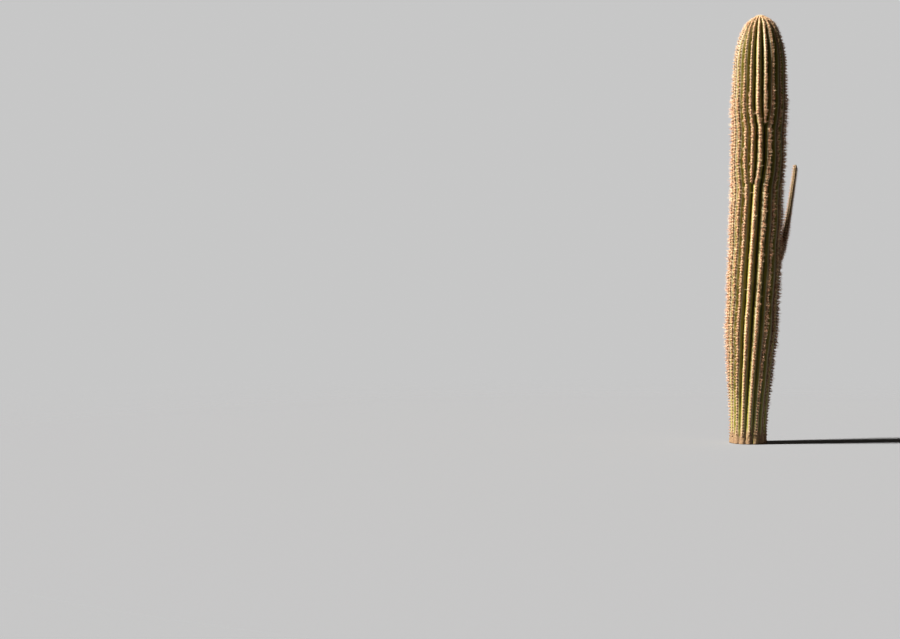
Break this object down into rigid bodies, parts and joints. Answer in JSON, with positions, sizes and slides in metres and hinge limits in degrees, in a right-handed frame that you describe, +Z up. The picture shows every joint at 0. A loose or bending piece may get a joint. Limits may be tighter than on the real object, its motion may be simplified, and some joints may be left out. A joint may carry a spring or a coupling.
{
  "type": "saguaro cactus",
  "caption": "Tall columnar desert cactus, rooted in the ground: a ribbed trunk that leans a little, rows of spines along the ribs, a woolly crown and a slender rising arm.",
  "frame": {"origin": "middle of the level cut under the trunk, at ground level", "axes": "+Z up along the trunk; the trunk leans towards +X; -Y is the side that faces the viewer; the arm rises behind the +X flank"},
  "size_m": [0.7262, 0.8165, 4.274],
  "materials": {
    "skin": "waxy green ribbed skin, corky brown at the foot",
    "spines": "matte tan spines",
    "wool": "short felt and crown wool"
  },
  "bodies": {
    "root": {"trunk": "skin", "arm_elbow": "skin", "arm_upright": "skin", "crown_cap": "wool", "spine_row_01": "spines", "spine_row_02": "spines", "spine_row_03": "spines", "spine_row_04": "spines", "spine_row_05": "spines", "spine_row_06": "spines", "spine_row_07": "spines", "spine_row_08": "spines", "spine_row_09": "spines", "spine_row_10": "spines", "spine_row_11": "spines", "spine_row_12": "spines", "spine_row_13": "spines", "spine_row_14": "spines", "spine_row_15": "spines", "spine_row_16": "spines", "spine_row_17": "spines", "spine_row_18": "spines", "spine_row_18_above_arm": "spines", "spine_row_19": "spines", "spine_row_20": "spines", "arm_spine_row_1": "spines", "arm_spine_row_2": "spines", "arm_spine_row_3": "spines", "arm_spine_row_4": "spines", "arm_spine_row_5": "spines", "arm_spine_row_6": "spines", "arm_spine_row_7": "spines"}
  },
  "joints": []
}
